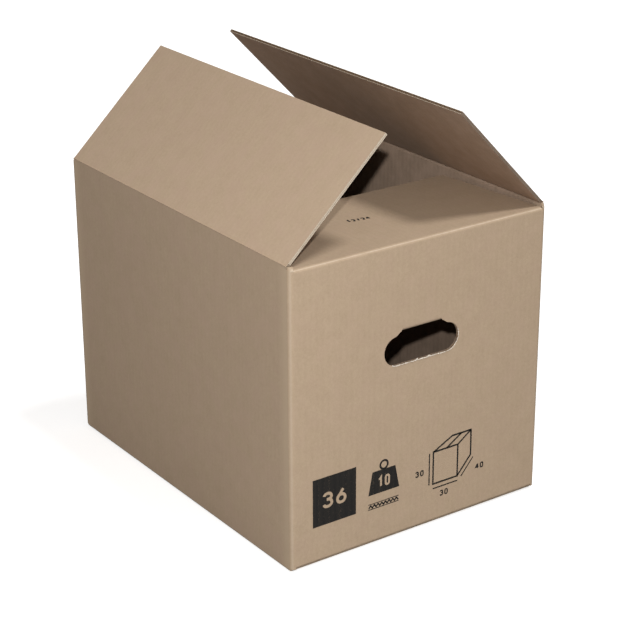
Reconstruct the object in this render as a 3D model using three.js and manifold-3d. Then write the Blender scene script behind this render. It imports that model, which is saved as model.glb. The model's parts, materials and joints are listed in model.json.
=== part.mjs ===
// Moving box: a regular slotted carton folded from one sheet of single-wall corrugated board.
//
// Millimetres, +Z up. The origin is the middle of the footprint, on the surface that the box
// stands on. The end walls with the hand holes face -Y and +Y, the long side walls -X and +X.
// The two long top flaps turn on the top edges of the side walls and stand half open. The
// short top flaps lie under them, and the bottom is closed: short flaps inside, long outside.

import * as THREE from 'three';
import { mergeVertices } from 'three/addons/utils/BufferGeometryUtils.js';
import Module from 'manifold-3d';

// Size of the packing space
const innerWidth = 300;
const innerLength = 400;
const innerHeight = 300;

// Board: two liners with a fluted medium between them
const board = 3;
const liner = 0.35;
const medium = 0.35;
const flutePitch = 6.67;
const openFluteDepth = 12;
const crownHalfShare = 0.08;
const mouthHalfShare = 0.4;

// Creases and slots
const foldRadius = 2;
const slotWidth = 7;
const slotSetback = 4;
const layerGap = 0.3;
const hingeGap = 0.3;
const seamGap = 1;

// Short flaps, top and bottom
const shortFlapDepth = 150;
const shortFlapTaper = 5;
const frontFlapSlope = 2;
const rearFlapSlope = 1.2;

// Long top flaps, in degrees above closed
const leftFlapAngle = 43.6;
const rightFlapAngle = 46.1;

// Hand hole in each end wall, with the tab that was pushed in and up
const holeWidth = 90;
const holeHeight = 30;
const holeCentreHeight = 201;
const tabNeckWidth = 50;
const tabNeckHeight = 220;
const tabShoulder = 3;
const tabCut = 0.3;
const tabFoldRadius = 0.5;
const tabLean = 10;

// Glue lap inside one corner
const lapWidth = 35;
const lapTaper = 15;
const lapEndMargin = 14;
const lapSeam = 1.5;
const lapSink = 0.3;

// How finely the round stretches are divided, how far joined stretches run into each other, and
// the distance below which two points are one
const foldSteps = 4;
const holeSteps = 10;
const overlap = 0.2;
const tiny = 1e-5;

// Worked out from the sizes above
const outerWidth = innerWidth + 2 * board;
const outerLength = innerLength + 2 * board;
const halfWidth = outerWidth / 2;
const halfLength = outerLength / 2;
const outerFold = foldRadius + board;
const shortFlapFloor = board + layerGap;
const shortFlapTop = shortFlapFloor + board + innerHeight + board;
const outerHeight = shortFlapTop + layerGap + board;
const flapInset = board / 2 + slotWidth / 2;
const longFlapLength = outerLength - 2 * flapInset;
const longFlapDepth = halfWidth - seamGap / 2;
const mitreSetback = hingeGap / 2 * Math.SQRT2;
const cornerBottom = slotSetback;
const cornerTop = outerHeight - slotSetback;
const beyond = 2 * board;

const radians = THREE.MathUtils.degToRad;
const wasm = await Module();
wasm.setup();

// The plane that a flat outline is drawn in: its two directions, and the one it grows along
const axes = {
  x: new THREE.Vector3(1, 0, 0),
  y: new THREE.Vector3(0, 1, 0),
  z: new THREE.Vector3(0, 0, 1),
};
const planes = {
  plan: [axes.x, axes.y, axes.z],
  side: [axes.y, axes.z, axes.x],
  front: [axes.x, axes.z, axes.y.clone().negate()],
};

function toSolid(geometry) {
  const bare = geometry.clone();
  bare.deleteAttribute('normal');
  bare.deleteAttribute('uv');
  const welded = mergeVertices(bare, tiny);
  return new wasm.Manifold(new wasm.Mesh({
    numProp: 3,
    vertProperties: new Float32Array(welded.attributes.position.array),
    triVerts: new Uint32Array(welded.index.array),
  }));
}

function toGeometry(solid) {
  const mesh = solid.getMesh();
  const geometry = new THREE.BufferGeometry();
  geometry.setAttribute('position', new THREE.BufferAttribute(new Float32Array(mesh.vertProperties), 3));
  geometry.setIndex(new THREE.BufferAttribute(new Uint32Array(mesh.triVerts), 1));
  geometry.computeVertexNormals();
  return geometry;
}

// A solid with the outline's section in the named plane, from one place to another across it
function prism(outline, plane, from, to) {
  const shape = Array.isArray(outline) ? new THREE.Shape(outline) : outline;
  const settings = { depth: to - from, bevelEnabled: false, curveSegments: holeSteps };
  const geometry = new THREE.ExtrudeGeometry(shape, settings);
  const [across, up, along] = planes[plane];
  geometry.applyMatrix4(new THREE.Matrix4().makeBasis(across, up, along));
  const start = plane === 'front' ? to : from;
  const shift = along.clone().set(Math.abs(along.x), Math.abs(along.y), Math.abs(along.z));
  geometry.translate(...shift.multiplyScalar(start).toArray());
  return toSolid(geometry);
}

function block(low, high) {
  const size = high.map((value, i) => value - low[i]);
  const geometry = new THREE.BoxGeometry(...size);
  geometry.translate(...size.map((value, i) => low[i] + value / 2));
  return toSolid(geometry);
}

function halfTurn(solid) {
  return solid.rotate([0, 0, 180]);
}

const point = (u, v) => new THREE.Vector2(u, v);

// Section of a board that is creased to the left at each middle point of its outer face
function foldedBoard(corners) {
  const outer = [];
  const inner = [];
  corners.forEach((corner, i) => {
    const before = (i > 0 ? corner.clone().sub(corners[i - 1]) : corners[1].clone().sub(corner)).normalize();
    const last = i === corners.length - 1;
    const after = last ? before.clone() : corners[i + 1].clone().sub(corner).normalize();
    const left = point(-before.y, before.x);
    const turn = Math.atan2(before.cross(after), before.dot(after));
    if (turn < tiny) {
      outer.push(corner.clone());
      inner.push(corner.clone().addScaledVector(left, board));
      return;
    }
    const tangent = outerFold * Math.tan(turn / 2);
    const centre = corner.clone().addScaledVector(before, -tangent).addScaledVector(left, outerFold);
    for (let step = 0; step <= foldSteps; step += 1) {
      const spoke = left.clone().negate().rotateAround(point(0, 0), turn * step / foldSteps);
      outer.push(centre.clone().addScaledVector(spoke, outerFold));
      inner.push(centre.clone().addScaledVector(spoke, foldRadius));
    }
  });
  return [...outer, ...inner.reverse()];
}

function roundedRectangle(width, length, radius) {
  const x = width / 2 - radius;
  const y = length / 2 - radius;
  const quarter = Math.PI / 2;
  const shape = new THREE.Shape();
  shape.absarc(x, y, radius, 0, quarter);
  shape.absarc(-x, y, radius, quarter, 2 * quarter);
  shape.absarc(-x, -y, radius, 2 * quarter, 3 * quarter);
  shape.absarc(x, -y, radius, 3 * quarter, 4 * quarter);
  return new THREE.Shape(distinct(shape.getPoints(foldSteps)));
}

// The points without the repeats that joined arcs leave
function distinct(points) {
  return points.filter((each, i) => each.distanceTo(points.at(i - 1)) > tiny);
}

// The four walls as one folded tube, its upright corners ending a little short of the creases
function wallTube() {
  const outline = roundedRectangle(outerWidth, outerLength, outerFold);
  outline.holes.push(roundedRectangle(innerWidth, innerLength, foldRadius));
  let tube = prism(outline, 'plan', cornerBottom, cornerTop);
  const flapWidth = halfWidth - flapInset;
  const flapLength = halfLength - flapInset;
  const endLow = shortFlapFloor + outerFold;
  const endHigh = shortFlapTop - outerFold * Math.tan(radians(90 + frontFlapSlope) / 2) - overlap;
  const openings = [
    block([-flapWidth, -halfLength - beyond, endHigh], [flapWidth, 0, outerHeight]),
    block([-flapWidth, -halfLength - beyond, 0], [flapWidth, 0, endLow]),
    block([-halfWidth - beyond, -flapLength, 0], [0, flapLength, outerFold]),
    block([-halfWidth - beyond, -flapLength, cornerTop - board], [0, flapLength, outerHeight]),
  ];
  openings.forEach((opening) => {
    tube = tube.subtract(opening).subtract(halfTurn(opening));
  });
  return tube;
}

// Tapers a short flap from its crease to its free edge
function taperedSides(low, high) {
  const root = halfWidth - flapInset;
  const crease = -halfLength + outerFold;
  const free = -halfLength + shortFlapDepth + beyond;
  const lost = shortFlapTaper * (free - crease) / (shortFlapDepth - outerFold);
  const outline = [
    point(-root, -halfLength - beyond),
    point(root, -halfLength - beyond),
    point(root, crease),
    point(root - lost, free),
    point(lost - root, free),
    point(-root, crease),
  ];
  return prism(outline, 'plan', low, high);
}

// Openings between the liners and the medium, seen on an edge cut across the flutes. They are
// drawn in the section plane, with the outer liner's face at height zero.
function openFlutes(length, edge, plane) {
  const crownHalf = crownHalfShare * flutePitch;
  const mouthHalf = mouthHalfShare * flutePitch;
  const high = -liner;
  const low = -board + liner + medium;
  const count = Math.floor(length / flutePitch) - 1;
  const first = -(count - 1) / 2 * flutePitch;
  const cuts = [];
  for (let i = 0; i < count; i += 1) {
    const centre = first + i * flutePitch;
    const upper = [
      point(centre - crownHalf, low),
      point(centre + crownHalf, low),
      point(centre + mouthHalf, high),
      point(centre - mouthHalf, high),
    ];
    const shifted = centre + flutePitch / 2;
    const lower = [
      point(shifted - mouthHalf, -board - high),
      point(shifted + mouthHalf, -board - high),
      point(shifted + crownHalf, -board - low),
      point(shifted - crownHalf, -board - low),
    ];
    cuts.push(prism(upper, plane, edge - openFluteDepth, edge + beyond));
    if (i < count - 1) cuts.push(prism(lower, plane, edge - openFluteDepth, edge + beyond));
  }
  return wasm.Manifold.union(cuts);
}

// Front wall, with the short flap at its top and the one at its bottom
function endWall(slope) {
  const reach = shortFlapDepth;
  const drop = radians(slope);
  const corners = [
    point(-halfLength + reach * Math.cos(drop), shortFlapTop - reach * Math.sin(drop)),
    point(-halfLength, shortFlapTop),
    point(-halfLength, shortFlapFloor),
    point(-halfLength + reach, shortFlapFloor),
  ];
  const root = halfWidth - flapInset;
  const wall = prism(foldedBoard(corners), 'side', -root, root);
  const flutes = openFlutes(2 * (root - shortFlapTaper), reach, 'front');
  return wall
    .intersect(taperedSides(-beyond, outerHeight + beyond))
    .subtract(flutes.rotate([-slope, 0, 0]).translate([0, -halfLength, shortFlapTop]))
    .subtract(flutes.translate([0, -halfLength, shortFlapFloor + board]));
}

// Left wall with the long bottom flap, cut to a mitre along its top edge
function sideWall() {
  const top = outerHeight - mitreSetback;
  const low = foldedBoard([
    point(-halfWidth, outerHeight / 2),
    point(-halfWidth, 0),
    point(-seamGap / 2, 0),
  ]);
  const high = [
    point(-halfWidth, outerHeight / 2),
    point(-halfWidth + board, outerHeight / 2),
    point(-halfWidth + board, top - board),
    point(-halfWidth, top),
  ];
  const reach = longFlapLength / 2;
  return prism(low, 'front', -reach, reach).add(prism(high, 'front', -reach, reach));
}

// Outline of the hand hole: a slot with round ends, and a neck up to the tab's crease
const tabCrease = tabNeckHeight + tabFoldRadius + board;
function handHole() {
  const radius = holeHeight / 2;
  const reach = holeWidth / 2 - radius;
  const neck = tabNeckWidth / 2;
  const quarter = Math.PI / 2;
  const shoulder = Math.acos(tabShoulder / radius);
  const shape = new THREE.Shape();
  shape.moveTo(-neck, tabCrease);
  shape.lineTo(neck, tabCrease);
  shape.lineTo(neck, tabNeckHeight);
  shape.absarc(reach, holeCentreHeight, radius, shoulder, -quarter, true);
  shape.absarc(-reach, holeCentreHeight, radius, 3 * quarter, 2 * quarter - shoulder, true);
  shape.lineTo(-neck, tabNeckHeight);
  return distinct(shape.getPoints(holeSteps));
}

// The tab of the front hand hole, rolled in over its crease and standing up inside the wall
function holeTab() {
  const outerRadius = tabFoldRadius + board;
  const centre = point(-halfLength + outerRadius, tabCrease);
  const lean = radians(tabLean);
  const neck = tabNeckWidth / 2 - tabCut;
  const roll = new THREE.Shape();
  roll.moveTo(centre.x - tabFoldRadius, centre.y + board);
  roll.lineTo(centre.x - outerRadius, centre.y + board);
  roll.absarc(centre.x, centre.y, outerRadius, Math.PI, 2 * Math.PI - lean);
  roll.absarc(centre.x, centre.y, tabFoldRadius, 2 * Math.PI - lean, Math.PI, true);

  const along = point(Math.sin(lean), Math.cos(lean));
  const across = point(Math.cos(lean), -Math.sin(lean));
  const root = centre.clone().addScaledVector(across, tabFoldRadius).addScaledVector(along, -overlap);
  const length = 2 * holeHeight;
  const blade = [
    root,
    root.clone().addScaledVector(across, board),
    root.clone().addScaledVector(across, board).addScaledVector(along, length),
    root.clone().addScaledVector(along, length),
  ];
  const rolledLength = Math.PI * (tabFoldRadius + board / 2);
  const outline = handHole().map((each) => point(each.x, 2 * tabCrease - rolledLength - each.y));
  const free = prism(blade, 'side', -holeWidth, holeWidth)
    .intersect(prism(outline.reverse(), 'front', -halfLength - beyond, 0));
  return prism(distinct(roll.getPoints(foldSteps)), 'side', -neck, neck).add(free);
}

// Glue lap on the inner face of the right wall, reaching from the rear corner
function glueLap() {
  const low = shortFlapFloor + board + lapEndMargin;
  const high = shortFlapTop - board - lapEndMargin;
  const corner = halfLength - board;
  const slant = lapWidth * Math.tan(radians(lapTaper));
  const outline = [
    point(corner - lapWidth, low + slant),
    point(corner, low),
    point(corner, high),
    point(corner - lapWidth, high - slant),
  ];
  const inside = halfWidth - board;
  return prism(outline, 'side', inside - board + lapSink, inside + lapSink);
}

// The line at the rear right corner where the edge of the side wall lies over the glue lap
function lapGroove() {
  const start = halfLength - outerFold;
  const depth = board / 2;
  return block([halfWidth - depth, start - lapSeam, -beyond], [halfWidth + beyond, start, outerHeight]);
}

function cartonBody() {
  let body = wallTube();
  body = body.add(endWall(frontFlapSlope)).add(halfTurn(endWall(rearFlapSlope)));
  body = body.add(sideWall()).add(halfTurn(sideWall()));
  body = body.add(glueLap());
  const hole = prism(handHole().reverse(), 'front', -halfLength - beyond, -halfLength + board + layerGap);
  body = body.subtract(hole).subtract(halfTurn(hole));
  body = body.add(holeTab()).add(halfTurn(holeTab()));
  return body.subtract(lapGroove());
}

// A long top flap, closed, with its crease line on the local Y axis and its outer face at zero
function longFlap() {
  const reach = longFlapLength / 2;
  const outline = [
    point(mitreSetback, 0),
    point(mitreSetback + board, -board),
    point(longFlapDepth, -board),
    point(longFlapDepth, 0),
  ];
  return prism(outline, 'front', -reach, reach)
    .subtract(openFlutes(longFlapLength, longFlapDepth, 'side'));
}

function boardMesh(name, solid, color) {
  const material = new THREE.MeshStandardMaterial({ color, roughness: 0.93, metalness: 0 });
  const mesh = new THREE.Mesh(toGeometry(solid), material);
  mesh.name = name;
  return mesh;
}

const kraft = new THREE.Color(0.68, 0.59, 0.49);
const carton = new THREE.Group();
carton.add(boardMesh('carton_body', cartonBody(), kraft));

const flaps = [
  ['left_top_flap', leftFlapAngle, 0],
  ['right_top_flap', rightFlapAngle, Math.PI],
];
flaps.forEach(([name, angle, turn]) => {
  const flap = boardMesh(name, longFlap(), kraft);
  flap.position.set(-halfWidth, 0, outerHeight);
  flap.rotation.y = -radians(angle);
  const side = new THREE.Group();
  side.rotation.z = turn;
  side.add(flap);
  carton.add(side);
});

export default carton;
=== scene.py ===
"""Moving box of corrugated board: its plies, folds, cut edges, print and paper finish.

The sheet is modelled as it is made: an outer liner, a fluted medium and an inner liner, folded
along the creases. Metres, +Z up, with the middle of the footprint at the origin.
"""

import json
import math
from contextlib import contextmanager

import bpy
from mathutils import Matrix, Vector

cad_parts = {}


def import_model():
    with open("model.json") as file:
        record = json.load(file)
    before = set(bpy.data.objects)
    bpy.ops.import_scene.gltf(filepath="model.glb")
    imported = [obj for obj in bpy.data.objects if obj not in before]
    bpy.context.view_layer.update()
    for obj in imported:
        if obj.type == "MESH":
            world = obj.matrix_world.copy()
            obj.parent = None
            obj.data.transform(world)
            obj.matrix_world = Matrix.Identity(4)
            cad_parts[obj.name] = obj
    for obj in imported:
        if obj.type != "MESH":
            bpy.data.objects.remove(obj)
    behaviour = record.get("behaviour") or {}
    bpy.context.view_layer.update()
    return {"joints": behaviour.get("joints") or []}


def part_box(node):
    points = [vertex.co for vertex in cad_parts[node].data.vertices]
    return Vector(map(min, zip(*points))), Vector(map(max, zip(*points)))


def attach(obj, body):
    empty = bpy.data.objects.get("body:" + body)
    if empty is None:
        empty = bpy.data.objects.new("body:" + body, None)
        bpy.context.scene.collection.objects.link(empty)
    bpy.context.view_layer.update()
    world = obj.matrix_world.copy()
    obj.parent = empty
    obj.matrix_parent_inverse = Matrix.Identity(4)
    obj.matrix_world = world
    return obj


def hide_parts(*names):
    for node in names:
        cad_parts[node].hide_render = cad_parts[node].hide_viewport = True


bl_info = {
    "name": "Corrugated moving box",
    "version": (1, 0, 0),
    "blender": (4, 5, 0),
    "location": "View3D > Sidebar > Carton",
    "description": "Builds a folded moving box of corrugated board around its packed frame",
    "category": "Add Mesh",
}

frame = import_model()

MM = 0.001
NEAR = 1e-6
FRONT, RIGHT, REAR, LEFT = 0, 1, 2, 3

# Places taken from the frame
BODY_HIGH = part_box("carton_body")[1]
HALF_WIDTH = BODY_HIGH.x
HALF_LENGTH = BODY_HIGH.y
JOINTS = {joint["child"]: joint for joint in frame["joints"]}
LONG_FOLD = JOINTS["left_flap"]["pos_m"][2]
LEFT_OPEN = math.radians(-JOINTS["left_flap"]["range_deg"][0])
RIGHT_OPEN = math.radians(-JOINTS["right_flap"]["range_deg"][0])


def number(name, description, default, **more):
    """A strength or a share that a user can change."""
    return bpy.props.FloatProperty(name=name, description=description, default=default, **more)


def length(name, description, default):
    """A size in metres."""
    return number(name, description, default, unit="LENGTH", precision=5)


def angle(name, description, degrees):
    """An angle, written in degrees and kept in radians."""
    return number(name, description, math.radians(degrees), subtype="ANGLE")


def vector(name, description, default, **more):
    """Three numbers that belong together."""
    return bpy.props.FloatVectorProperty(
        name=name, description=description, default=default, size=3, **more
    )


def colour(name, description, default):
    """A colour, written as 0 to 255 of the screen and kept as a linear colour."""
    linear = [(((v / 255) + 0.055) / 1.055) ** 2.4 if v > 10 else v / 255 / 12.92 for v in default]
    return vector(name, description, linear, min=0, max=1, subtype="COLOR")


class CartonBoard(bpy.types.PropertyGroup):
    """The corrugated board and how it is folded."""

    board: length("Board", "Thickness of the whole board", 3 * MM)
    liner: length("Liner", "Thickness of each liner", 0.35 * MM)
    medium: length("Medium", "Thickness of the fluted medium", 0.25 * MM)
    pitch: length("Flute pitch", "From one flute to the next", 6.67 * MM)
    samples: bpy.props.IntProperty(name="Steps a flute", description="Points of one wave", default=8)
    fold: length("Fold radius", "Outer radius of an upright corner", 5 * MM)
    score: length("Score radius", "Outer radius of a scored crease", 3.2 * MM)
    inset: length("Flap inset", "From the outer face of a wall to the side of a flap", 5 * MM)
    setback: length("Corner setback", "How far an upright corner ends from the folds", 3.2 * MM)
    crush: number("Crush", "Size of a crushed corner's top, as a share of its foot", 0.86)
    gap: length("Ply gap", "Clearance between flaps that lie on each other", 0.3 * MM)
    seam: length("Seam", "Gap between two long flaps that meet", 1 * MM)
    mitre: length("Mitre", "How far a mitred crease edge stands back", 0.2121 * MM)
    bead: length("Crease bead", "Radius of the stretched paper on a long flap's crease", 0.62 * MM)
    short_flap: length("Short flap", "Depth of a short flap", 150 * MM)
    taper: length("Taper", "How much narrower each side of a short flap is at its free edge", 5 * MM)
    front_slope: angle("Front slope", "How far the front short flap sags", 2)
    rear_slope: angle("Rear slope", "How far the rear short flap sags", 1.2)


class CartonHole(bpy.types.PropertyGroup):
    """The hand hole in each end wall."""

    width: length("Width", "Width of the hole", 90 * MM)
    height: length("Height", "Height of the hole", 30 * MM)
    centre: length("Centre", "Height of its centre", 201 * MM)
    neck: length("Neck", "Width of the tab's crease", 50 * MM)
    neck_top: length("Neck top", "Height of the tab's fold", 220 * MM)
    shoulder: length("Shoulder", "From the straight part to where the neck meets the arc", 2 * MM)
    pinch: number("Pinch", "Width of the neck above the tab's fold, as a share", 0.9)
    roll: length("Roll", "Inner radius of the rolled tab", 0.5 * MM)
    lean: angle("Lean", "How far the tab leans from the wall", 10)


class CartonColours(bpy.types.PropertyGroup):
    """Colours of the paper and the print."""

    outer: colour("Outer liner", "Kraft paper outside", (190, 169, 143))
    outer_dark: colour("Outer liner, dark", "Its darker fibres", (164, 143, 118))
    blush: colour("Blush", "Warmer patches of the paper", (182, 156, 137))
    inner: colour("Inner liner", "Kraft paper inside the long flaps", (174, 149, 126))
    inner_dark: colour("Inner liner, dark", "Its darker fibres", (146, 121, 101))
    # Lining: a darker copy of the inner liner, painted shade inside the box.
    lining: colour("Lining", "Kraft paper inside the walls", (158, 137, 117))
    lining_dark: colour("Lining, dark", "Its darker fibres", (126, 107, 91))
    # Crease: paler paper stretched over a fold, also used as a painted highlight along the folds and
    # upright corners.
    crease: colour("Crease", "Paper stretched over a fold", (218, 204, 184))
    medium: colour("Medium", "Fluted paper", (138, 114, 90))
    medium_dark: colour("Medium, dark", "Its darker fibres", (112, 91, 71))
    cut: colour("Cut edge", "Pale fibres of a cut edge", (208, 196, 179))
    cut_dark: colour("Cut edge, dark", "Its darker fibres", (180, 164, 143))
    side: colour("Pressed edge", "Cut edge along the flutes", (190, 173, 152))
    side_dark: colour("Pressed edge, dark", "Its darker fibres", (158, 138, 117))
    # Grey edge: a darker copy of the pressed edge, painted shade on the right flap's sides.
    grey: colour("Grey edge", "Edges of the flap that faces away from the light", (138, 122, 107))
    grey_dark: colour("Grey edge, dark", "Its darker fibres", (104, 90, 78))
    torn: colour("Torn edge", "White fibres of a torn edge", (232, 224, 214))
    ink: colour("Ink", "Black flexographic ink", (30, 29, 28))


class CartonStage(bpy.types.PropertyGroup):
    """Camera and light."""

    camera: vector(
        "Camera", "Where the camera stands", (-1.0343, -1.4963, 0.9104),
        subtype="TRANSLATION", unit="LENGTH",
    )
    azimuth: angle("Azimuth", "Camera's heading, clockwise from +Y", 35.275)
    tilt: angle("Tilt", "How far the camera looks down", 22.227)
    roll: angle("Roll", "Camera's roll", -0.163)
    focal: number("Focal length", "Focal length on a 36 mm sensor", 105.55)
    key: number("Key", "Power of the lamp over the camera", 23.5)
    key_size: length("Key size", "Diameter of the lamp over the camera", 30 * MM)
    key_place: vector(
        "Key place", "Where that lamp sits, seen from the camera", (-0.01, 0.11, 0),
        subtype="TRANSLATION", unit="LENGTH",
    )
    top: number("Top", "Strength of the light from above", 1.5)
    top_angle: angle("Top angle", "How wide the light from above is", 13)
    top_way: vector(
        "Top way", "Where the light from above goes", (-0.23, 0.29, -0.93), subtype="DIRECTION"
    )
    ambient: number("Ambient", "Strength of the world", 0.29)


def settings():
    """All property groups of the scene."""
    return bpy.context.scene.carton


# Mesh work


def only(piece):
    """Makes one object the active and the only selected one."""
    bpy.ops.object.select_all(action="DESELECT")
    piece.select_set(True)
    bpy.context.view_layer.objects.active = piece


def settle(piece):
    """Puts an object's place, turn and scale into its mesh."""
    only(piece)
    bpy.ops.object.transform_apply(location=True, rotation=True, scale=True)
    return piece


@contextmanager
def editing(piece, kind="VERT", test=lambda point: True):
    """Edit mode, with what lies wholly where the test holds selected."""
    only(piece)
    bpy.ops.object.mode_set(mode="EDIT")
    bpy.ops.mesh.select_mode(type=kind)
    bpy.ops.mesh.select_all(action="DESELECT")
    bpy.ops.object.mode_set(mode="OBJECT")
    mesh = piece.data
    items = {"VERT": mesh.vertices, "EDGE": mesh.edges, "FACE": mesh.polygons}[kind]
    for item in items:
        indices = [item.index] if kind == "VERT" else item.vertices
        item.select = all(test(mesh.vertices[i].co) for i in indices)
    bpy.ops.object.mode_set(mode="EDIT")
    yield piece
    bpy.ops.object.mode_set(mode="OBJECT")


def turn(angle, axis, centre):
    """Turns what is selected in edit mode, by the right-hand rule."""
    bpy.ops.transform.rotate(value=-angle, orient_axis=axis, center_override=centre)


def spin(angle, steps, centre, axis):
    """Sweeps what is selected in edit mode about an axis, by the right-hand rule."""
    bpy.ops.mesh.spin(steps=steps, angle=-angle, center=centre, axis=axis)


def modified(piece, kind, **values):
    """Adds a modifier and applies it."""
    only(piece)
    modifier = piece.modifiers.new(kind.title(), kind)
    for name, value in values.items():
        setattr(modifier, name, value)
    bpy.ops.object.modifier_apply(modifier=modifier.name)
    return piece


def joined(name, parts):
    """One object of several, with their materials."""
    bpy.ops.object.select_all(action="DESELECT")
    for part in parts:
        part.select_set(True)
    bpy.context.view_layer.objects.active = parts[0]
    bpy.ops.object.join()
    piece = bpy.context.object
    piece.name = piece.data.name = name
    return piece


def painted(piece, *materials):
    """Gives a piece its materials."""
    piece.data.materials.clear()
    for material in materials:
        piece.data.materials.append(material)
    return piece


def plane(name, width, depth, place, angle):
    """A rectangle across X, its depth turned up from +Y by an angle."""
    bpy.ops.object.select_all(action="DESELECT")
    bpy.ops.mesh.primitive_plane_add(size=1, location=place, rotation=(angle, 0, 0))
    piece = bpy.context.object
    piece.name = piece.data.name = name
    piece.scale = (width, depth, 1)
    return settle(piece)


def oblong(reach, radius, y, height, vertices=48):
    """A flat shape with round ends that faces the front, its arcs centred at +reach and -reach."""
    bpy.ops.object.select_all(action="DESELECT")
    bpy.ops.mesh.primitive_circle_add(
        vertices=vertices, radius=radius, fill_type="NGON", location=(reach, y, height),
        rotation=(math.pi / 2, 0, 0),
    )
    shape = settle(bpy.context.object)
    with editing(shape, "VERT", lambda co: co.x < reach + NEAR):
        bpy.ops.transform.translate(value=(-2 * reach, 0, 0))
    return shape


def raised(piece, way):
    """Gives a flat piece a depth, its faces outward."""
    with editing(piece, "FACE"):
        bpy.ops.mesh.extrude_region_move(TRANSFORM_OT_translate={"value": way})
        bpy.ops.mesh.select_all(action="SELECT")
        bpy.ops.mesh.normals_make_consistent(inside=False)
    return piece


def inward(path, distance):
    """A path's parallel on its inner side, in (y, z)."""
    points = [Vector(point) for point in path]
    sides = []
    for start, end in zip(points, points[1:]):
        along = (end - start).normalized()
        sides.append(Vector((along.y, -along.x)))
    made = []
    for i, point in enumerate(points):
        before = sides[max(i - 1, 0)]
        after = sides[min(i, len(sides) - 1)]
        made.append(point + (before + after) * distance / (1 + before.dot(after)))
    return made


def folded(name, path, half, radii):
    """A sheet across X that follows a path in (y, z), with a fold of each radius in turn."""
    points = [Vector(point) for point in path]
    first = points[1] - points[0]
    middle = (points[0] + points[1]) / 2
    sheet = plane(name, 2 * half, first.length, (0, *middle), math.atan2(first.y, first.x))

    def at(point):
        return lambda co: (Vector((co.y, co.z)) - point).length < NEAR

    for before, after in zip(points[1:], points[2:]):
        step = after - before
        with editing(sheet, "EDGE", at(before)):
            bpy.ops.mesh.extrude_region_move(TRANSFORM_OT_translate={"value": (0, *step)})
    for before, point, after, radius in zip(points, points[1:], points[2:], radii):
        if radius > 0:
            reach = radius * math.tan((point - before).angle(after - point) / 2)
            with editing(sheet, "EDGE", at(point)):
                bpy.ops.mesh.bevel(offset=reach, offset_type="OFFSET", segments=5, affect="EDGES")
    return sheet


def thick(sheet, thickness, materials, side=-1):
    """Gives a sheet a thickness, to its inner side or to both, with a material on its cut edges."""
    painted(sheet, *materials)
    rim = len(materials) - 1
    return modified(
        sheet, "SOLIDIFY", thickness=thickness, offset=side, use_even_offset=True,
        material_offset_rim=rim,
    )


def select_across(sheet, least):
    """In edit mode, selects the edges that run across X for at least that far."""
    bpy.ops.object.mode_set(mode="OBJECT")
    mesh = sheet.data
    for edge in mesh.edges:
        start, end = (mesh.vertices[i].co for i in edge.vertices)
        edge.select = abs(start.x - end.x) > least
    bpy.ops.object.mode_set(mode="EDIT")


def fluted(sheet, half, board, material):
    """Cuts a sheet into columns across X and bends it to the medium's wave."""
    waves = round(2 * half / board.pitch)
    step = 2 * half / waves / board.samples
    for cuts in (waves - 1, board.samples - 1):
        with editing(sheet, "EDGE", lambda co: False):
            select_across(sheet, step / 2)
            bpy.ops.mesh.subdivide(number_cuts=cuts)
    height = (board.board - 2 * board.liner - board.medium) / 2
    for phase in range(board.samples):
        rise = height * math.sin(2 * math.pi * phase / board.samples)
        if abs(rise) < NEAR:
            continue
        with editing(sheet, "VERT", lambda co: round((co.x + half) / step) % board.samples == phase):
            bpy.ops.transform.shrink_fatten(value=rise)
    return thick(sheet, board.medium, [material], side=0)


def abreast(path, place):
    """The point of a path's first straight that a place lies beside."""
    start, end = Vector(path[0]), Vector(path[1])
    along = (end - start).normalized()
    return start + along * (Vector(place) - start).dot(along)


def plies(name, path, half, radii, skins, before=(), after=()):
    """Outer liner, medium and inner liner along one folded path, with lips on the inner liner."""
    board = settings().board
    outer, flute, inner, cut, side = skins
    middle = board.board / 2
    depth = board.board - board.liner
    inner_path = inward(path, depth)
    core = list(path)
    if before:
        inner_path = [*before, *inner_path[1:]]
        core[0] = abreast(path, before[-1])
    if after:
        inner_path = [*inner_path[:-1], *after]
        core[-1] = abreast(path[::-1], after[0])
    inner_radii = [0] * (len(before) and 1) + [radius - depth for radius in radii]
    inner_radii += [0] * (len(after) and 1)
    outside = folded(name + "_outer", path, half, radii)
    wave = folded(name + "_medium", inward(core, middle), half, [r - middle for r in radii])
    inside = folded(name + "_inner", inner_path, half, inner_radii)
    for liner, skin in ((outside, outer), (inside, inner)):
        thick(liner, board.liner, [skin, side, cut])
        liner.active_material_index = 1
        for end in (-1, 1):
            with editing(liner, "FACE", lambda co: co.x * end > half - NEAR):
                bpy.ops.object.material_slot_assign()
    flutes = fluted(wave, half, board, flute)
    return [outside, flutes, inside, *crushed_sides(name, core, half, radii, side)]


def crushed_sides(name, path, half, radii, cut):
    """The pressed cut along both sides of a strip, between its liners."""
    board = settings().board
    width, sunk = 0.25 * MM, 0.02 * MM
    made = []
    for side in (-1, 1):
        under = [radius - board.liner for radius in radii]
        strip = folded(name + "_side", inward(path, board.liner), width / 2, under)
        thick(strip, board.board - 2 * board.liner, [cut])
        strip.location.x = side * (half - width / 2 - sunk)
        made.append(settle(strip))
    return made


def quarter_turned(parts, quarters):
    """Parts made for the front, turned about the middle to another side."""
    for part in parts:
        part.rotation_euler.z = quarters * math.pi / 2
        settle(part)
    return parts


# Materials


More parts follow.
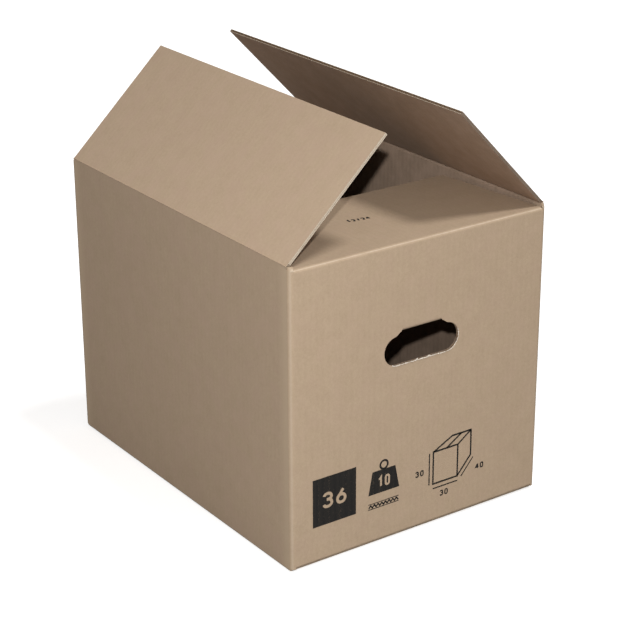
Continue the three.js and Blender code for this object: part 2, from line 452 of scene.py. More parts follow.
class Wire:
    """An output socket that can be used in sums."""

    def __init__(self, shader, socket):
        self.shader = shader
        self.socket = socket

    def maths(self, operation, *values):
        inputs = dict(enumerate(values))
        return self.shader.node("ShaderNodeMath", {"operation": operation}, inputs)

    def __add__(self, other):
        return self.maths("ADD", self, other)

    __radd__ = __add__

    def __sub__(self, other):
        return self.maths("SUBTRACT", self, other)

    def __rsub__(self, other):
        return self.maths("SUBTRACT", other, self)

    def __mul__(self, other):
        return self.maths("MULTIPLY", self, other)

    __rmul__ = __mul__

    def __abs__(self):
        return self.maths("ABSOLUTE", self)

    def sine(self):
        return self.maths("SINE", self)

    def larger(self, other):
        return self.maths("MAXIMUM", self, other)

    def smaller(self, other):
        return self.maths("MINIMUM", self, other)

    def clamped(self):
        return self.larger(0).smaller(1)

    def ramp(self, start, end, low=0.0, high=1.0):
        """Rises smoothly from low to high between two values."""
        inputs = {"Value": self, "From Min": start, "From Max": end, "To Min": low, "To Max": high}
        return self.shader.node("ShaderNodeMapRange", {"interpolation_type": "SMOOTHSTEP"}, inputs)


class Nodes:
    """A node tree that starts empty."""

    def __init__(self, owner):
        owner.use_nodes = True
        self.tree = owner.node_tree
        self.tree.nodes.clear()

    def node(self, kind, choices=None, inputs=None, output=0):
        """Adds a node, its settings first, then the values or links of its sockets."""
        made = self.tree.nodes.new(kind)
        for key, value in (choices or {}).items():
            setattr(made, key, value)
        for key, value in (inputs or {}).items():
            if isinstance(value, Wire):
                self.tree.links.new(value.socket, made.inputs[key])
            else:
                made.inputs[key].default_value = value
        return None if output is None else Wire(self, made.outputs[output])

    def mix(self, factor, first, second):
        """A colour between two."""
        inputs = {0: factor, 6: first, 7: second}
        return self.node("ShaderNodeMix", {"data_type": "RGBA"}, inputs, 2)

    def seen(self):
        """1 for what the camera sees itself, and 0 for light that reaches it by way of others."""
        return self.node("ShaderNodeLightPath", output="Is Camera Ray")


class Shader(Nodes):
    """A material with a Principled surface, built from expressions."""

    def __init__(self, name, roughness):
        self.material = bpy.data.materials.new(name)
        super().__init__(self.material)
        surface = self.node("ShaderNodeBsdfPrincipled")
        self.surface = surface.socket.node
        self.surface.inputs["Roughness"].default_value = roughness
        self.surface.inputs["Specular IOR Level"].default_value = 0.25
        self.node("ShaderNodeOutputMaterial", {}, {"Surface": surface}, None)
        self.place = self.node("ShaderNodeTexCoord", output="Object")

    def parts(self, vector):
        """X, Y and Z of a vector."""
        x = self.node("ShaderNodeSeparateXYZ", inputs={"Vector": vector})
        outputs = x.socket.node.outputs
        return [Wire(self, outputs[i]) for i in range(3)]

    def noise(self, scale, detail=3.0, stretch=(1, 1, 1), roughness=0.55):
        """Noise over the object's own coordinates, stretched along its axes."""
        inputs = {"Vector": self.place, "Scale": stretch}
        place = self.node("ShaderNodeMapping", {"vector_type": "POINT"}, inputs)
        inputs = {"Vector": place, "Scale": scale, "Detail": detail, "Roughness": roughness}
        return self.node("ShaderNodeTexNoise", {}, inputs)

    def finish(self, colour, height, depth, strength=1.0):
        """Links the colour and the bump, and gives the material."""
        self.tree.links.new(colour.socket, self.surface.inputs["Base Color"])
        inputs = {"Height": height, "Distance": depth, "Strength": strength}
        bump = self.node("ShaderNodeBump", {}, inputs)
        self.tree.links.new(bump.socket, self.surface.inputs["Normal"])
        return self.material


def flat(rgb):
    """A plain colour as a socket takes it."""
    return (*rgb, 1.0)


def washboard(shader, across):
    """The flutes that show faintly through a liner, from -1 to 1."""
    x, y, _ = shader.parts(shader.place)
    along = x if across == "X" else y
    drift = shader.noise(14, 2.0) * 2.4
    return (along * (2 * math.pi / settings().board.pitch) + drift).sine()


def crease_and_highlight_mask(shader, across):
    """1 where the paper is stretched over a fold or an upright corner, and 0 on the panels; it places
    the pale crease and a painted highlight.
    """
    board = settings().board
    x, y, z = shader.parts(shader.place)
    from_side = abs(HALF_WIDTH - abs(x))
    from_end = abs(HALF_LENGTH - abs(y))
    ragged = (shader.noise(170, 3.0) - 0.5) * (0.8 * MM)
    mask = (from_side.larger(from_end) + ragged).ramp(1.5 * MM, 3.2 * MM, 0.45, 0.0)
    if across == "X":
        crown = board.score * (1 - math.sqrt(0.5))
        fold = from_end.larger(abs(z - short_fold()))
        return mask.larger((fold + ragged).ramp(crown, crown + 0.7 * MM, 1.0, 0.0))
    return mask


def liner_material(name, light, dark, across, pale_crease_and_highlight, blush, relief, low=1.0):
    """Kraft paper: mottled, speckled with fibres, flutes showing through, with painted light and
    shade.
    """
    colours = settings().colours
    shader = Shader(name, 0.88)
    wave = washboard(shader, across)
    mottle = shader.noise(60, 4.0)
    cloud = shader.noise(5, 2.0)
    fibre = shader.noise(430, 4.0, (1, 1, 0.75), 0.65)
    speck = shader.noise(1150, 2.0)
    tone = 0.5 + (mottle - 0.5) * 0.45 + (cloud - 0.5) * 0.2 + (fibre - 0.5) * 0.75
    tone = tone + (speck - 0.5) * 0.6 + wave * relief
    paper = shader.mix(tone.clamped(), flat(dark), flat(light))
    patches = shader.noise(55, 3.0).ramp(0.35, 0.7, 0.35, 1.0) * blush
    paper = shader.mix(patches, paper, flat(colours.blush))
    # Paler stretched paper, with a painted highlight at a fold's crown and along the upright corners.
    crease = crease_and_highlight_mask(shader, across) * pale_crease_and_highlight
    paper = shader.mix(crease, paper, flat(colours.crease))
    # Painted light: paper of the side walls and long flaps turns lighter within about 22 mm of the
    # ends, below the long flaps' crease, standing in for the shading of the board's bend at an
    # upright corner.
    if across == "Y":
        _, y, z = shader.parts(shader.place)
        painted_corner_light = (HALF_LENGTH - abs(y)).ramp(3 * MM, 22 * MM, 0.8, 0.0)
        painted_corner_light = painted_corner_light * (LONG_FOLD - z).ramp(0.0, 4 * MM)
        paper = shader.mix(painted_corner_light, paper, flat(colours.outer))
    # Painted shade: where low is under 1, the paper darkens towards the bottom, from 270 mm down to
    # 140 mm, to that share.
    if low < 1:
        _, _, z = shader.parts(shader.place)
        paper = shader.mix(z.ramp(140 * MM, 270 * MM, 1 - low, 0.0), paper, (0, 0, 0, 1))
    height = (fibre - 0.5) * 0.14 + (speck - 0.5) * 0.12 + (mottle - 0.5) * 0.12 + wave * relief
    return shader.finish(paper, height, 0.35 * MM, 0.8)


def fibre_material(name, light, dark):
    """Paper seen on a cut or torn edge, or inside the board."""
    shader = Shader(name, 0.93)
    fibre = shader.noise(900, 4.0, roughness=0.7)
    cloud = shader.noise(60, 2.0)
    tone = ((fibre - 0.5) * 1.6 + (cloud - 0.5) * 0.8 + 0.5).clamped()
    return shader.finish(shader.mix(tone, flat(dark), flat(light)), fibre, 0.3 * MM, 0.8)


def ink_material(name):
    """Black ink on kraft, speckled where the paper shows."""
    colours = settings().colours
    shader = Shader(name, 0.62)
    wave = washboard(shader, "X")
    grain = shader.noise(1500, 3.0, roughness=0.7)
    streak = shader.noise(260, 3.0, (1, 1, 0.06))
    bare = (grain + streak * 0.5 - wave * 0.05).ramp(0.86, 1.04)
    printed = shader.mix(bare * 0.3, flat(colours.ink), flat(colours.outer_dark))
    shade = shader.mix((wave * 0.5 + 0.5) * 0.01, printed, flat(colours.outer))
    return shader.finish(shade, grain * 0.2 + wave * 0.2, 0.3 * MM, 0.8)


MATERIALS = {}


def materials():
    """Every material of the box, made once."""
    if not MATERIALS:
        colours = settings().colours
        outer, inner = (colours.outer, colours.outer_dark), (colours.inner, colours.inner_dark)
        lining = (colours.lining, colours.lining_dark)
        for across, blush in (("X", 0.3), ("Y", 0.45)):
            # The lining is a darker copy of the inner liner, and its last number, 0.68, darkens it
            # lower down: painted shade inside the box.
            for kind, tones, *more in (
                ("outer_", outer, 0.42, blush, 0.03), ("inner_", inner, 0.0, blush, 0.05),
                ("lining_", lining, 0.0, blush, 0.1, 0.68),
            ):
                MATERIALS[kind + across] = liner_material(kind + across, *tones, across, *more)
        MATERIALS["medium"] = fibre_material("medium", colours.medium, colours.medium_dark)
        MATERIALS["cut"] = fibre_material("cut_edge", colours.cut, colours.cut_dark)
        MATERIALS["side"] = fibre_material("pressed_edge", colours.side, colours.side_dark)
        # Painted shade: the darker edge paper for the right flap's sides.
        MATERIALS["grey"] = fibre_material("grey_edge", colours.grey, colours.grey_dark)
        MATERIALS["torn"] = fibre_material("torn_edge", colours.torn, colours.cut)
        MATERIALS["ink"] = ink_material("ink")
    return MATERIALS


def skins(across, inner="lining_", cut="cut", side="side"):
    """Materials of the plies and edges of panels whose flutes follow each other along an axis."""
    found = materials()
    return (
        found["outer_" + across], found["medium"], found[inner + across], found[cut], found[side],
    )


# The folded sheet


def short_fold():
    """Height of the fold at the top of an end wall."""
    board = settings().board
    return LONG_FOLD - board.board - board.gap


def end_path(slope):
    """Outer face of an end wall with its short flaps, from the bottom flap's free edge up."""
    board = settings().board
    floor = board.board + board.gap
    top = short_fold()
    reach = board.short_flap
    return [
        (-HALF_LENGTH + reach, floor),
        (-HALF_LENGTH, floor),
        (-HALF_LENGTH, top),
        (-HALF_LENGTH + reach * math.cos(slope), top - reach * math.sin(slope)),
    ]


def side_path():
    """Outer face of a side wall with its long bottom flap, in (distance from the middle, z)."""
    board = settings().board
    return [(-board.seam / 2, 0), (-HALF_WIDTH, 0), (-HALF_WIDTH, LONG_FOLD - board.mitre)]


def hole_shoulder(hole):
    """The rounded step from the neck to the slot, as (half width, height) going down."""
    half, high = hole.neck / 2, hole.neck_top
    return [
        (half + 1.1 * MM, high - 0.4 * MM), (half + 3 * MM, high - 1.7 * MM),
        (half + 4.9 * MM, high - 3.3 * MM),
    ]


def slot_ends(hole):
    """Radius of the slot's round ends, and how far from the middle their centres are."""
    radius = hole.height / 2
    return radius, hole.width / 2 - radius


def cutters():
    """The hand hole's shape as two solids: the slot with round ends, and the neck above it."""
    hole = settings().hole
    radius, reach = slot_ends(hole)
    depth = 12 * MM
    before = -HALF_LENGTH - depth / 2
    slot = raised(oblong(reach, radius, before, hole.centre), (0, depth, 0))

    crease = hole.neck_top + hole.roll + settings().board.board
    wide = reach + hole.shoulder
    low = hole.centre + math.sqrt(radius ** 2 - hole.shoulder ** 2)
    place = (0, before, (crease + hole.centre) / 2)
    neck = plane("neck", hole.neck, crease - hole.centre, place, math.pi / 2)
    with editing(neck, "EDGE", lambda co: co.z > crease - NEAR):
        narrower = (hole.pinch, 1, 1)
        bpy.ops.transform.resize(value=narrower, center_override=(0, -HALF_LENGTH, crease))
    with editing(neck, "EDGE", lambda co: co.z < hole.centre + NEAR):
        bpy.ops.transform.translate(value=(0, 0, hole.neck_top - hole.centre))
        half, high = hole.neck / 2, hole.neck_top
        for next_half, next_high in (*hole_shoulder(hole), (wide, low), (wide, hole.centre)):
            down = {"value": (0, 0, next_high - high)}
            bpy.ops.mesh.extrude_region_move(TRANSFORM_OT_translate=down)
            bpy.ops.transform.resize(
                value=(next_half / half, 1, 1), center_override=(0, -HALF_LENGTH, next_high)
            )
            half, high = next_half, next_high
    return [slot, raised(neck, (0, depth, 0))]


def with_hole(parts):
    """Cuts the hand hole through the plies of an end wall."""
    tools = cutters()
    for part in parts:
        for tool in tools:
            modified(part, "BOOLEAN", object=tool, operation="DIFFERENCE", solver="EXACT")
    for tool in tools:
        bpy.data.objects.remove(tool)
    return parts


def hole_tab():
    """The tab, rolled in over its crease and standing up inside the front wall."""
    hole = settings().hole
    board = settings().board
    outer = hole.roll + board.board
    crease = hole.neck_top + outer
    pivot = (0, -HALF_LENGTH + outer, crease)
    torn, sunk, worn = 0.6 * MM, 0.2 * MM, 0.4 * MM
    start = (0, -HALF_LENGTH + board.board / 2, crease)
    roll = plane("tab_roll", hole.neck - torn, board.board, start, 0)
    with editing(roll, "FACE"):
        spin(math.pi - hole.lean, 12, pivot, (1, 0, 0))
    with editing(roll, "FACE"):
        bpy.ops.mesh.remove_doubles(threshold=NEAR)
        bpy.ops.mesh.normals_make_consistent(inside=False)

    radius, reach = slot_ends(hole)
    rolled = math.pi * (hole.roll + board.board / 2)
    centre = 2 * crease - rolled - hole.centre
    blade = oblong(reach, radius, 0, centre)
    low = centre - radius
    with editing(blade, "EDGE", lambda co: co.z < low + NEAR):
        down = {"value": (0, 0, crease - low - sunk)}
        bpy.ops.mesh.extrude_region_move(TRANSFORM_OT_translate=down)
        bpy.ops.transform.resize(value=(hole.neck / 2 / reach, 1, 1), center_override=(0, 0, crease))
    with editing(raised(blade, (0, board.board, 0)), "FACE"):
        bpy.ops.transform.translate(value=(0, pivot[1] + hole.roll, 0))
        turn(-hole.lean, "X", pivot)
    modified(blade, "BEVEL", width=worn, segments=2, limit_method="ANGLE")
    found = materials()
    return [painted(roll, found["outer_X"]), painted(blade, found["outer_X"])]


def lip(depth, board):
    """How far along a mitred liner of that depth stands back from the crease line."""
    return board.mitre + depth + board.liner * math.sqrt(2)


def tapered(parts, board):
    """Narrows the short flaps towards their free edges."""
    free = -HALF_LENGTH + 0.9 * board.short_flap
    width = HALF_WIDTH - board.inset
    narrower = ((width - board.taper) / width, 1, 1)
    for part in parts:
        with editing(part, "VERT", lambda co: co.y > free):
            bpy.ops.transform.resize(value=narrower, center_override=(0, 0, 0))
    return parts


def end_wall(name, slope):
    """An end wall with its short flaps and hand hole, at the front."""
    board = settings().board
    half = HALF_WIDTH - board.inset
    parts = plies(name, end_path(slope), half, [board.score] * 2, skins("X"))
    return tapered(with_hole(parts), board)


def side_wall(name):
    """A side wall with its long bottom flap and mitred top, at the front."""
    board = settings().board
    fold = board.board - board.liner
    top = LONG_FOLD
    across = [-HALF_WIDTH + fold, -HALF_WIDTH + board.liner]
    inner_end = [(across[0], top - lip(fold, board)), (across[1], top - lip(board.liner, board))]
    half = HALF_LENGTH - board.inset
    return plies(name, side_path(), half, [board.score], skins("Y"), after=inner_end)


def quarter_post(name, near, far, low, high, material):
    """A quarter of an upright tube about the origin, between two radii and two heights."""
    part = plane(name, far - near, high - low, (0, 0, 0), math.pi / 2)
    with editing(part, "FACE"):
        bpy.ops.transform.translate(value=(-(near + far) / 2, 0, (low + high) / 2))
        spin(math.pi / 2, 6, (0, 0, 0), (0, 0, 1))
    with editing(part, "FACE"):
        bpy.ops.mesh.normals_make_consistent(inside=False)
    return painted(part, material)


def corner(name, quarters):
    """One upright corner of the tube: its plies, and the crushed board between the flaps' slots."""
    board = settings().board
    found = materials()
    low = board.setback
    high = LONG_FOLD - board.setback
    depths = (0, board.liner, board.board - board.liner, board.board)
    parts = [
        quarter_post(name, board.fold - deep, board.fold - shallow, low, high, found[kind])
        for shallow, deep, kind in zip(depths, depths[1:], ("outer_X", "medium", "inner_X"))
    ]
    near, far = board.fold - board.board, board.fold - 2 * board.gap
    cap = quarter_post(name, near, far, high, LONG_FOLD - board.gap, found["outer_X"])
    with editing(cap, "FACE", lambda co: co.z > high + NEAR):
        bpy.ops.transform.resize(value=(board.crush, board.crush, 1), center_override=(0, 0, 0))
    cap.location = (-board.gap, -board.gap, 0)
    parts.append(settle(cap))
    side = [(-1, -1), (1, -1), (1, 1), (-1, 1)][quarters]
    for part in parts:
        part.rotation_euler.z = quarters * math.pi / 2
        part.location = (side[0] * (HALF_WIDTH - board.fold), side[1] * (HALF_LENGTH - board.fold), 0)
        settle(part)
    return parts


def glue_lap():
    """The lap of the rear wall, glued inside the right wall."""
    board = settings().board
    found = materials()
    low, high, slant = 20.3 * MM, 292.3 * MM, 9.4 * MM
    lap, glue, play, pressed = 35 * MM, 0.05 * MM, 0.2 * MM, 0.25 * MM
    far = HALF_LENGTH - board.board
    near, far = far - lap, far - play
    inner = HALF_WIDTH - board.board
    layers = [
        (glue, board.liner, found["outer_Y"]),
        (board.liner, board.board - board.liner, found["medium"]),
        (board.board - board.liner, board.board - pressed, found["inner_Y"]),
    ]
    narrower = ((high - low - 2 * slant) / (high - low), 1, 1)
    parts = []
    for start, end, material in layers:
        part = plane("glue_lap", high - low, far - near, (0, (near + far) / 2, 0), 0)
        with editing(part, "EDGE", lambda co: co.y < near + NEAR):
            bpy.ops.transform.resize(value=narrower, center_override=(0, 0, 0))
        raised(part, (0, 0, end - start))
        part.rotation_euler.y = -math.pi / 2
        part.location = (inner - start, 0, (low + high) / 2)
        parts.append(painted(settle(part), material))
    return parts


def carton_sheet():
    """Everything of the sheet that doesn't move."""
    board = settings().board
    parts = end_wall("front", board.front_slope)
    parts += quarter_turned(end_wall("rear", board.rear_slope), REAR)
    parts += quarter_turned(side_wall("right"), RIGHT)
    parts += quarter_turned(side_wall("left"), LEFT)
    for quarters in range(4):
        parts += corner("corner", quarters)
    parts += glue_lap()
    parts += hole_tab()
    parts += quarter_turned(hole_tab(), REAR)
    sheet = joined("carton_sheet", parts)
    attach(sheet, "carton")
    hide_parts("carton_body")


def long_flap(body, opening, quarters, *edges):
    """A long top flap, at the angle it stands at, with the materials of its edges."""
    board = settings().board
    root = board.mitre + board.liner
    reach = HALF_WIDTH - board.seam / 2
    deep = board.board - board.liner
    start = [(lip(board.liner, board), -board.liner), (lip(deep, board), -deep)]
    half = HALF_LENGTH - board.inset
    found = skins("Y", "inner_", *edges)
    parts = plies(body, [(root, 0), (reach, 0)], half, [], found, before=start)
    for part in parts:
        part.rotation_euler.x = opening
        part.location = (0, -HALF_WIDTH, LONG_FOLD)
        settle(part)
    flap = joined(body + "_board", quarter_turned(parts, quarters))
    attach(flap, body)
    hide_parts(body.replace("_flap", "_top_flap"))


def crease(name, side):
    """The rounded ridge of stretched paper along a long flap's crease."""
    board = settings().board
    bpy.ops.object.select_all(action="DESELECT")
    bpy.ops.mesh.primitive_cylinder_add(
        vertices=20, radius=board.bead, depth=2 * (HALF_LENGTH - board.inset),
        location=(side * HALF_WIDTH, 0, LONG_FOLD), rotation=(math.pi / 2, 0, 0),
    )
    bead = settle(bpy.context.object)
    bead.name = bead.data.name = name
    worn = 0.25 * MM
    modified(bead, "BEVEL", width=worn, segments=2, limit_method="ANGLE", angle_limit=1.0)
    painted(bead, materials()["outer_Y"])
    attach(bead, "carton")


# Print


def ink_layer():
    """Where the ink lies in front of the wall, and how thick it is."""
    return -HALF_LENGTH - 0.06 * MM, 0.05 * MM


def printed(name, points):
    """A flat shape on the front wall from its corners (x, z) in order."""
    y, depth = ink_layer()
    bpy.ops.object.select_all(action="DESELECT")
    bpy.ops.mesh.primitive_circle_add(vertices=len(points), radius=10 * MM, fill_type="NGON")
    shape = bpy.context.object
    shape.name = name
    mesh = shape.data
    for i, (x, z) in enumerate(points):
        home = mesh.vertices[i].co.copy()
        with editing(shape, "VERT", lambda co: (co - home).length < NEAR):
            bpy.ops.transform.translate(value=(x - home.x, y - home.y, z - home.z))
    return raised(shape, (0, depth, 0))


def ribbon(points, width, radius=0.0):
    """A printed line along points (x, z), its corners rounded."""
    y, depth = ink_layer()
    path = [(-x, z) for x, z in points]
    line = folded("line", path, depth / 2, [radius] * (len(path) - 2))
    with editing(line):
        bpy.ops.mesh.remove_doubles(threshold=NEAR)
    modified(line, "SOLIDIFY", thickness=width, offset=0, use_even_offset=True)
    line.rotation_euler.z = math.pi / 2
    line.location.y = y + depth / 2
    return settle(line)


# Centre lines of plain figures in a cell one wide and one high, each with whether it is rounded
BOWL = [(0.5, 0.6), (1, 0.6), (1, 0), (0, 0), (0, 0.6), (0.5, 0.6)]
FIGURES = {
    "0": [(True, [(0.5, 1), (1, 1), (1, 0), (0, 0), (0, 1), (0.5, 1)])],
    "1": [(False, [(0.1, 0.76), (0.6, 1), (0.6, 0)])],
    "2": [(True, [(0, 0.75), (0, 1), (1, 1), (1, 0.5), (0, 0)]), (False, [(0, 0), (1, 0)])],
    "3": [
        (True, [(0.03, 0.82), (0.03, 1), (0.97, 1), (0.97, 0.54), (0.35, 0.54)]),
        (True, [(0.35, 0.54), (1, 0.54), (1, 0), (0, 0), (0, 0.2)]),
    ],
    "4": [(False, [(0.74, 0), (0.74, 1)]), (False, [(0.66, 1), (-0.08, 0.28), (1.15, 0.28)])],
    "6": [(True, BOWL), (False, [(0.74, 1), (0.06, 0.42)])],
    "/": [(False, [(0.2, -0.05), (0.8, 1.05)])],
}
# Shares of a figure's width: the space between two figures, and the radius of a round stroke
SPACE = 0.3
ROUND = 0.44


def figures(text, low, high, width):
    """Plain figures that fill a rectangle, given by two corners (x, z), on the front wall."""
    pitch = (high[0] - low[0]) / (len(text) + SPACE * (len(text) - 1))
    wide, tall = pitch - width, high[1] - low[1] - width
    apart = 0.01 * MM
    made = []
    for i, figure in enumerate(text):
        left = low[0] + width / 2 + (1 + SPACE) * pitch * i
        for rounded, line in FIGURES[figure]:
            points = [(left + x * wide, low[1] + width / 2 + y * tall) for x, y in line]
            stroke = ribbon(points, width, ROUND * wide * rounded)
            stroke.location.y = -apart * (len(made) % 2)
            made.append(settle(stroke))
    return made


def ring(centre, radius, width):
    """A printed ring about (x, z)."""
    y, depth = ink_layer()
    made = plane("ring", width, depth, (centre[0] + radius, y + depth / 2, centre[1]), 0)
    with editing(made, "FACE"):
        spin(2 * math.pi, 40, (centre[0], y, centre[1]), (0, 1, 0))
        bpy.ops.mesh.select_all(action="SELECT")
        bpy.ops.mesh.remove_doubles(threshold=NEAR)
        bpy.ops.mesh.select_all(action="DESELECT")
        bpy.ops.mesh.select_interior_faces()
        bpy.ops.mesh.delete(type="FACE")
        bpy.ops.mesh.select_all(action="SELECT")
        bpy.ops.mesh.normals_make_consistent(inside=False)
    return made


def scaled(points):
    """Points given in millimetres, in metres."""
    return [(x * MM, z * MM) for x, z in points]


def flute_strip():
    """A strip of board seen on its edge: a wave between two lines."""
    left, right, low, high = -62.5, -25.5, 40.2, 45.8
    line, wave_line, bend = 0.9 * MM, 1.6 * MM, 0.4 * MM
    step, rise, points = 2.25, 3.2, 17
    strip = [ribbon(scaled([(left, z), (right, z)]), line) for z in (low, high)]
    wave = [(left + 0.5 + step * i, low + 1.2 + rise * (i % 2)) for i in range(points)]
    return [*strip, ribbon(scaled(wave), wave_line, bend)]


def small_box():
    """A closed box in outline, with a line for each of its three measures."""
    line, measure, figure = 1.9 * MM, 1.4 * MM, 1.5 * MM
    front = [(33, 44.9), (17.4, 44.9), (17.4, 80.2), (48.4, 80.2), (48.4, 44.9), (33, 44.9)]
    back = [(17.4, 80.2), (41, 91.8), (65, 91.8), (65.2, 64.2), (48.4, 44.9)]
    edge, seam = [(48.4, 80.2), (65, 91.8)], [(34, 80.2), (53, 91.8)]
    high, wide = [(12.5, 44.8), (12.5, 79.8)], [(17.4, 39.7), (48.8, 39.7)]
    deep = [(53.4, 43.1), (68.4, 60.5)]
    drawing = [ribbon(scaled(points), line) for points in (front, back, edge, seam)]
    drawing += [ribbon(scaled(points), measure) for points in (high, wide, deep)]
    drawing += figures("30", *scaled([(-5, 58), (5.5, 64.6)]), figure)
    drawing += figures("30", *scaled([(26.5, 28.6), (37, 35.2)]), figure)
    return drawing + figures("40", *scaled([(72, 45), (82.5, 51.6)]), figure)


def front_print():
    """The print low on the front wall: a field with a number, a weight, a strip and a small box."""
    ink = [
        printed("field", scaled([(-128.5, 41.3), (-77.5, 41.3), (-77.5, 92.1), (-128.5, 92.1)])),
        printed("weight", scaled([(-62.6, 55.6), (-25, 55.6), (-30, 80.2), (-57.8, 80.2)])),
        ring((-43.9 * MM, 85 * MM), 4.5 * MM, 2.2 * MM),
        *flute_strip(),
        *small_box(),
    ]
    found = materials()
    for piece in ink:
        painted(piece, found["ink"])
    drawing = joined("front_print", ink)
    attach(drawing, "carton")
    bare = figures("36", *scaled([(-117, 58.5), (-89, 75.5)]), 3.1 * MM)
    bare += figures("10", *scaled([(-51, 61.5), (-36.5, 73.5)]), 2.2 * MM)
    for piece in bare:
        painted(piece, found["outer_X"])
    plain = joined("front_figures", bare)
    plain.location.y = -ink_layer()[1]
    settle(plain)
    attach(plain, "carton")


def flap_print():
    """Small plain figures stamped on the front short flap."""
    board = settings().board
    left, near, wide, deep = -27.5 * MM, 82 * MM, 25 * MM, 7 * MM
    stroke, askew = 1.8 * MM, math.radians(8)
    marks = figures("12/24", (left, near), (left + wide, near + deep), stroke)
    for mark in marks:
        painted(mark, materials()["ink"])
    stamp = joined("flap_stamp", marks)
    stamp.location.y = HALF_LENGTH
    settle(stamp)
    with editing(stamp, "FACE"):
        turn(askew, "Y", (left, 0, near))
    stamp.rotation_euler.x = -math.pi / 2 - board.front_slope
    stamp.location = (0, -HALF_LENGTH, short_fold())
    settle(stamp)
    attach(stamp, "carton")


# Torn paper


def torn_rim(name, quarters, seed):
    """The burr of pale fibres round the lower part of a hand hole."""
    hole = settings().hole
    radius, reach = slot_ends(hole)
    band, depth, ragged = 0.65 * MM, 0.3 * MM, 0.34 * MM
    outside = radius + 0.55 * band
    rim = oblong(reach, outside, -HALF_LENGTH - depth, hole.centre, 96)
    rim.name = rim.data.name = name
    with editing(rim, "EDGE", lambda co: abs(co.z - hole.centre) > radius):
        select_across(rim, reach)
        bpy.ops.mesh.subdivide(number_cuts=60)
    with editing(rim, "FACE"):
        bpy.ops.mesh.inset(thickness=band)
        bpy.ops.mesh.delete(type="FACE")
    end = 0.45 * radius
    with editing(rim, "VERT", lambda co: co.z > hole.centre + end):
        bpy.ops.mesh.delete(type="VERT")
    with editing(rim, "VERT", lambda co: co.x < -reach - end):
        bpy.ops.mesh.delete(type="VERT")
    with editing(rim):
        bpy.ops.mesh.delete_loose()
    inside_edge, outside_edge, half = 0.2 * MM, -0.3 * MM, 1.3 * MM
    for place, rise in ((-5.6 * MM, 1.1 * MM), (9.1 * MM, 0.8 * MM), (24 * MM, -0.6 * MM)):
        burr = hole.centre - radius + (inside_edge if rise > 0 else outside_edge)
        with editing(rim, "VERT", lambda co: abs(co.x - place) < half and (co.z - burr) * rise > 0):
            bpy.ops.transform.translate(value=(0, 0, rise))
    with editing(rim):
        bpy.ops.transform.vertex_random(offset=ragged, uniform=1.0, normal=0.0, seed=seed)
    modified(rim, "SOLIDIFY", thickness=depth, offset=0, use_even_offset=True)
    painted(rim, materials()["torn"])
    quarter_turned([rim], quarters)
    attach(rim, "carton")


# Stage


def camera():
    """The camera at the photo's viewing angle."""
    view = settings().stage
    level, tilt, roll = view.azimuth, view.tilt, view.roll
    ahead = Vector(
        (math.cos(tilt) * math.sin(level), math.cos(tilt) * math.cos(level), -math.sin(tilt))
    )
    right = Vector((math.cos(level), -math.sin(level), 0))
    up = right.cross(ahead)
    across = right * math.cos(roll) + up * math.sin(roll)
    upright = up * math.cos(roll) - right * math.sin(roll)
    bpy.ops.object.camera_add()
    made = bpy.context.object
    turned = Matrix((across, upright, -ahead)).transposed().to_4x4()
    made.matrix_world = Matrix.Translation(view.camera) @ turned
    made.data.sensor_width = 36
    made.data.lens = view.focal
    made.data.clip_start = 0.05
    bpy.context.scene.camera = made
    return made


def lamp(name, kind, energy):
    """A lamp of a kind and a strength."""
    bpy.ops.object.light_add(type=kind)
    made = bpy.context.object
    made.name = name
    made.data.energy = energy
    return made


def floor():
    """A pale floor that keeps the box's shadow."""
    shader = Shader("floor", 0.9)
    seen = shader.seen()
    tone = shader.mix(seen, (0.3, 0.3, 0.3, 1), (0.93, 0.93, 0.93, 1))
    glow = shader.mix(seen, (0, 0, 0, 1), (0.5, 0.5, 0.5, 1))
    shader.tree.links.new(tone.socket, shader.surface.inputs["Base Color"])
    shader.tree.links.new(glow.socket, shader.surface.inputs["Emission Color"])
    shader.surface.inputs["Emission Strength"].default_value = 1.0
    shader.surface.inputs["Specular IOR Level"].default_value = 0.0
    wide, sunk = 16, 0.5 * MM
    ground = plane("floor", wide, wide, (2, 3, -sunk), 0)
    return painted(ground, shader.material)


def world(strength):
    """An even surround, white where the camera sees it."""
    made = bpy.data.worlds.new("surround")
    nodes = Nodes(made)
    seen = nodes.seen()
    tone = nodes.mix(seen, (1, 0.96, 0.93, 1), (1, 1, 1, 1))
    light = (seen + strength).smaller(1)
    surround = nodes.node("ShaderNodeBackground", {}, {"Color": tone, "Strength": light})
    nodes.node("ShaderNodeOutputWorld", {}, {"Surface": surround}, None)
    bpy.context.scene.world = made


def stage():
    """The camera, a small lamp over it, light from above, the floor and the surround."""
    view = settings().stage
    bpy.context.scene.view_settings.view_transform = "Standard"
    world(view.ambient)
    eye = camera()
    key = lamp("key", "AREA", view.key)
    key.data.shape = "DISK"
    key.data.size = view.key_size
    key.matrix_world = eye.matrix_world @ Matrix.Translation(view.key_place)
    top = lamp("top", "SUN", view.top)
    top.data.angle = view.top_angle
    top.rotation_euler = Vector(view.top_way).to_track_quat("-Z", "Y").to_euler()
    floor()


# Operators


def check_mode(context):
    """Stops the script if the pieces can't be built."""
    if context.mode != "OBJECT":
        raise RuntimeError("The carton is built in object mode")


class CARTON_OT_sheet(bpy.types.Operator):
    """Builds the walls, bottom, short flaps and hand holes of one folded sheet"""

    bl_idname = "carton.sheet"
    bl_label = "Folded sheet"
    bl_options = {"REGISTER", "UNDO"}

    def execute(self, context):
        check_mode(context)
        carton_sheet()
        return {"FINISHED"}


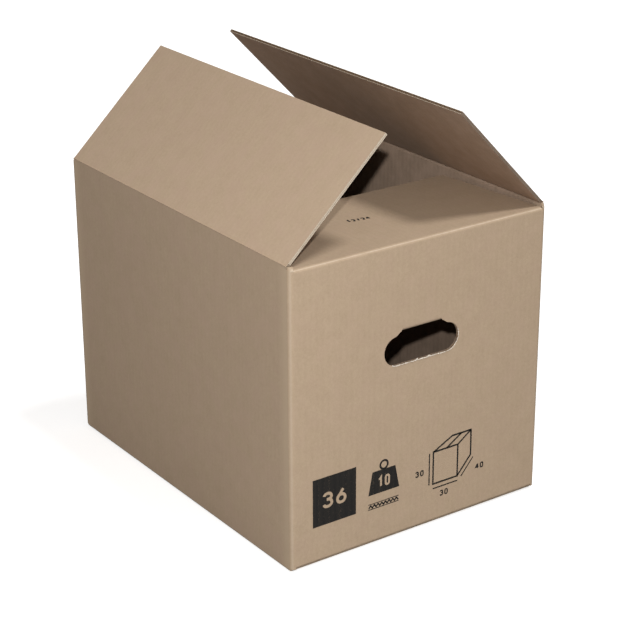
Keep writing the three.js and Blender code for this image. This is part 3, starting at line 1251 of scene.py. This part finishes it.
class CARTON_OT_flaps(bpy.types.Operator):
    """Builds the two long top flaps at the angles they stand at"""

    bl_idname = "carton.flaps"
    bl_label = "Long top flaps"
    bl_options = {"REGISTER", "UNDO"}

    def execute(self, context):
        check_mode(context)
        long_flap("left_flap", LEFT_OPEN, LEFT, "cut", "cut")
        # The right flap's sides take the darker edge paper: painted shade.
        long_flap("right_flap", RIGHT_OPEN, RIGHT, "cut", "grey")
        return {"FINISHED"}


class CARTON_OT_creases(bpy.types.Operator):
    """Builds the stretched paper along the long flaps' creases"""

    bl_idname = "carton.creases"
    bl_label = "Creases"
    bl_options = {"REGISTER", "UNDO"}

    def execute(self, context):
        check_mode(context)
        crease("left_crease", -1)
        crease("right_crease", 1)
        return {"FINISHED"}


class CARTON_OT_rims(bpy.types.Operator):
    """Builds the torn paper round both hand holes"""

    bl_idname = "carton.rims"
    bl_label = "Torn rims"
    bl_options = {"REGISTER", "UNDO"}

    def execute(self, context):
        check_mode(context)
        torn_rim("front_rim", FRONT, 3)
        torn_rim("rear_rim", REAR, 8)
        return {"FINISHED"}


class CARTON_OT_print(bpy.types.Operator):
    """Prints plain figures and simple drawings on the front wall and its short flap"""

    bl_idname = "carton.print"
    bl_label = "Print"
    bl_options = {"REGISTER", "UNDO"}

    def execute(self, context):
        check_mode(context)
        front_print()
        flap_print()
        return {"FINISHED"}


class CARTON_OT_stage(bpy.types.Operator):
    """Sets the camera, the lamps, the floor and the surround"""

    bl_idname = "carton.stage"
    bl_label = "Stage"
    bl_options = {"REGISTER", "UNDO"}

    def execute(self, context):
        check_mode(context)
        stage()
        return {"FINISHED"}


class CARTON_PT_panel(bpy.types.Panel):
    """The carton's pieces and settings"""

    bl_idname = "CARTON_PT_panel"
    bl_label = "Corrugated moving box"
    bl_space_type = "VIEW_3D"
    bl_region_type = "UI"
    bl_category = "Carton"

    def draw(self, context):
        for operator in OPERATORS:
            self.layout.operator(operator.bl_idname)
        for group in (settings().board, settings().hole, settings().colours, settings().stage):
            box = self.layout.box()
            for name in group.__annotations__:
                box.prop(group, name)


class CartonSettings(bpy.types.PropertyGroup):
    """All settings of the carton."""

    board: bpy.props.PointerProperty(type=CartonBoard)
    hole: bpy.props.PointerProperty(type=CartonHole)
    colours: bpy.props.PointerProperty(type=CartonColours)
    stage: bpy.props.PointerProperty(type=CartonStage)


OPERATORS = (
    CARTON_OT_sheet, CARTON_OT_flaps, CARTON_OT_creases, CARTON_OT_rims, CARTON_OT_print,
    CARTON_OT_stage,
)
GROUPS = (CartonBoard, CartonHole, CartonColours, CartonStage, CartonSettings)
CLASSES = (*GROUPS, *OPERATORS, CARTON_PT_panel)


def register():
    for kind in CLASSES:
        bpy.utils.register_class(kind)
    bpy.types.Scene.carton = bpy.props.PointerProperty(type=CartonSettings)


def unregister():
    del bpy.types.Scene.carton
    for kind in reversed(CLASSES):
        bpy.utils.unregister_class(kind)


def main():
    """Builds the box and its stage."""
    register()
    bpy.ops.object.select_all(action="DESELECT")
    bpy.ops.carton.sheet()
    bpy.ops.carton.flaps()
    bpy.ops.carton.creases()
    bpy.ops.carton.rims()
    bpy.ops.carton.print()
    bpy.ops.carton.stage()


if __name__ == "__main__":
    main()
